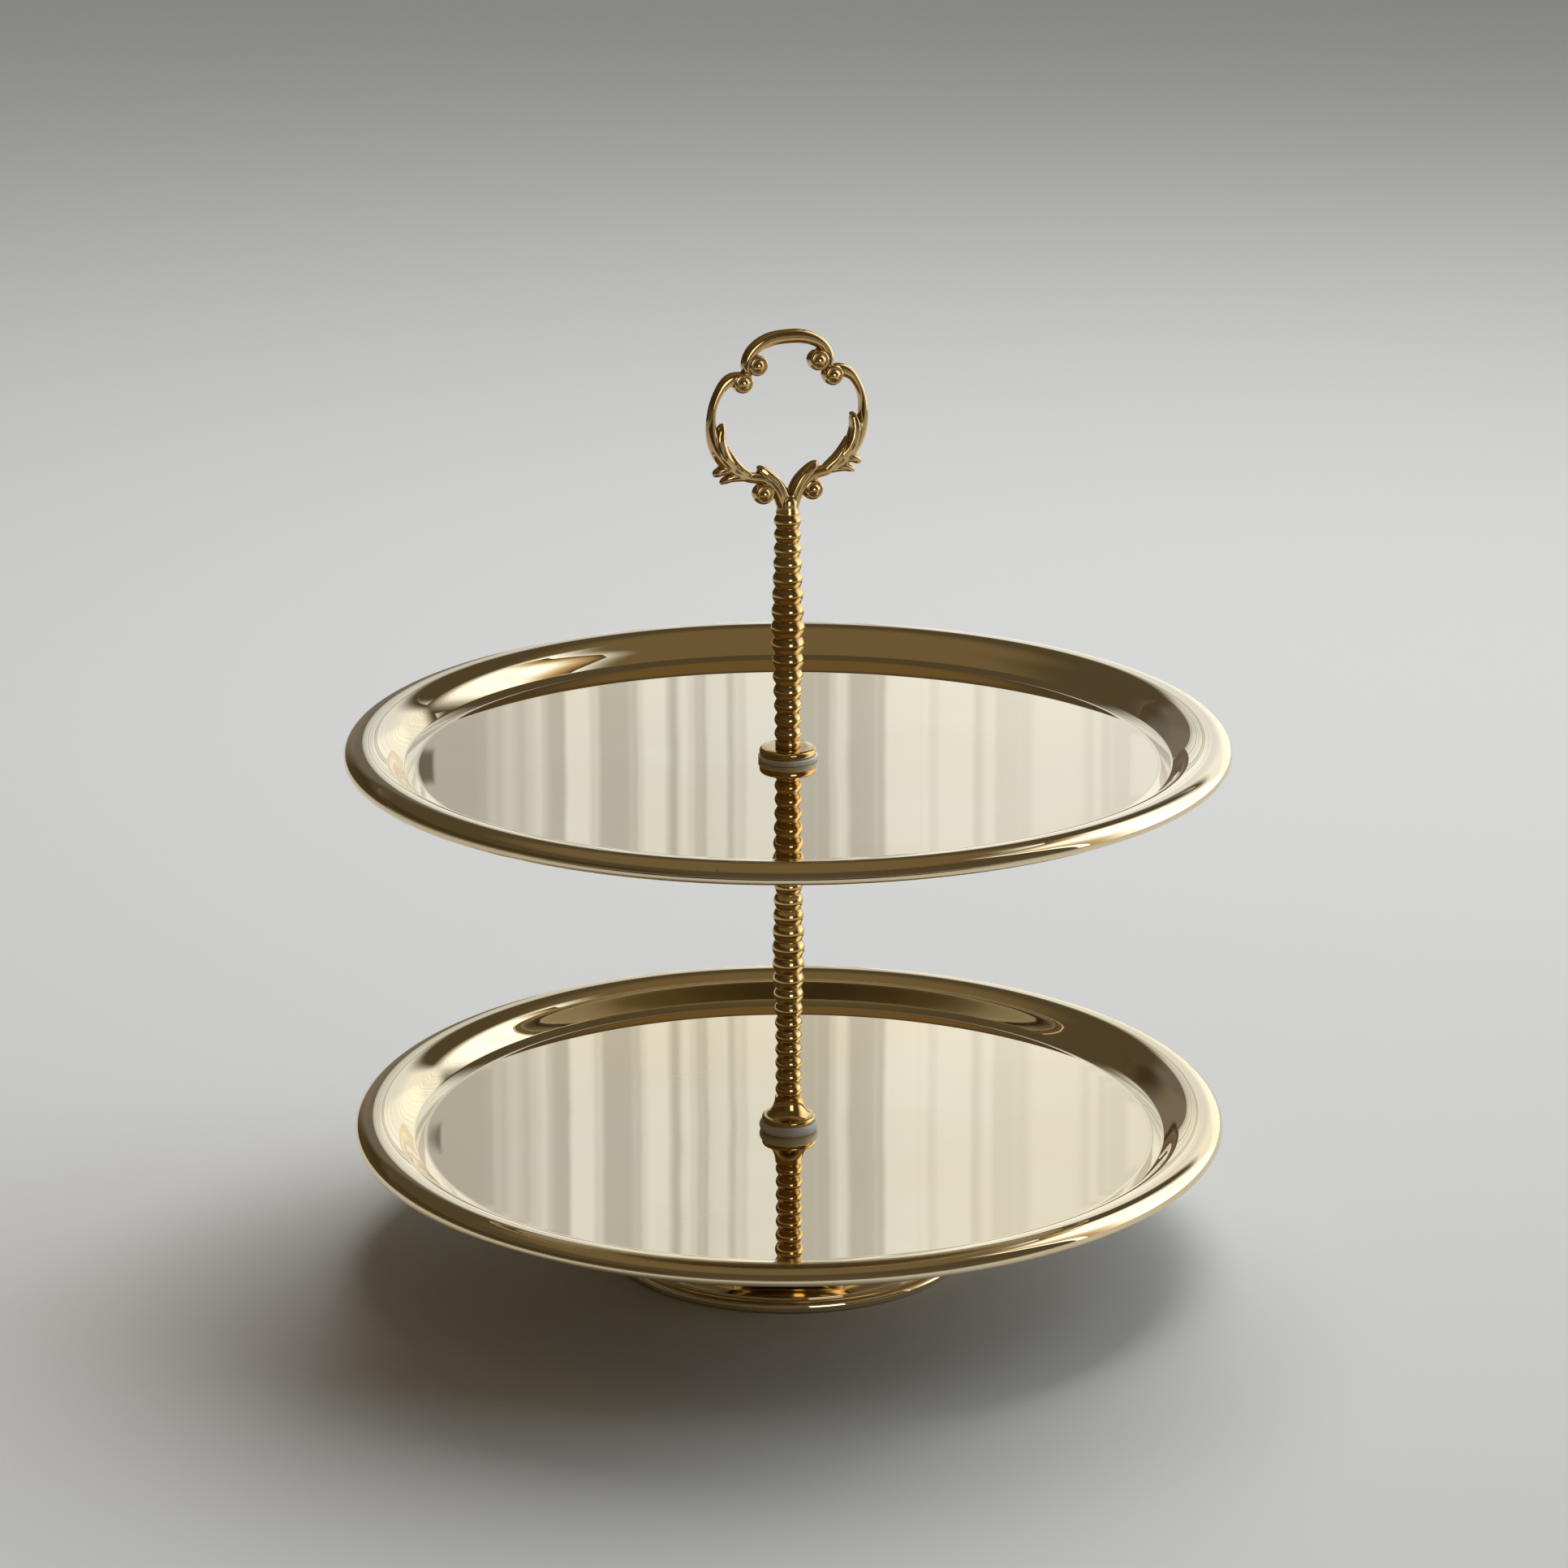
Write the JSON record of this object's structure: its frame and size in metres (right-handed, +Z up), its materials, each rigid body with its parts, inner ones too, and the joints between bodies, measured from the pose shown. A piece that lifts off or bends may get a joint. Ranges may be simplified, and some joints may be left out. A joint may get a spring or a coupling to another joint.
{
  "type": "tiered cake stand",
  "caption": "Two-tier cake stand: round rolled-rim gold trays on a beaded centre post, with a scrolled ring handle above and a flared foot below.",
  "frame": {"origin": "on the table, under the middle of the centre post", "axes": "+Z up along the centre post; the ring of the handle lies in the XZ plane; the picture is taken from -Y, a little to -X"},
  "size_m": [0.3, 0.3, 0.3243],
  "materials": {
    "post_gold": "polished warm gold plate",
    "tray_gold": "polished pale gold plate",
    "white_plastic": "slightly translucent",
    "steel": "bright zinc plate"
  },
  "bodies": {
    "base": {"foot": "tray_gold", "foot_washer": "steel", "foot_screw": "steel", "foot_gasket": "white_plastic", "lower_washer": "white_plastic", "lower_collar": "post_gold", "lower_post": "post_gold", "support_collar": "post_gold", "support_washer": "white_plastic"},
    "lower_tray": {"lower_tray": "tray_gold"},
    "upper_tray": {"upper_tray": "tray_gold", "upper_washer": "white_plastic"},
    "collar": {"upper_collar": "post_gold"},
    "top": {"upper_post": "post_gold", "post_stud": "steel", "handle": "post_gold", "handle_stud": "steel"}
  },
  "joints": [
    {"name": "lower_tray_turn", "type": "hinge", "parent": "base", "child": "lower_tray", "pos_m": [0, 0, 0.0422], "axis": [0, 0, 1], "continuous": true},
    {"name": "upper_tray_turn", "type": "hinge", "parent": "base", "child": "upper_tray", "pos_m": [0, 0, 0.1759], "axis": [0, 0, 1], "continuous": true},
    {"name": "top_lift", "type": "slide", "parent": "base", "child": "collar", "axis": [0, 0, 1], "range_m": [0, 0.01]},
    {"name": "top_unscrew", "type": "hinge", "parent": "collar", "child": "top", "pos_m": [0, 0, 0.1807], "axis": [0, 0, 1], "range_deg": [0, 4500]}
  ],
  "couplings": [
    {"joint": "top_unscrew", "follows": "top_lift", "rad_per_m": 7854}
  ]
}
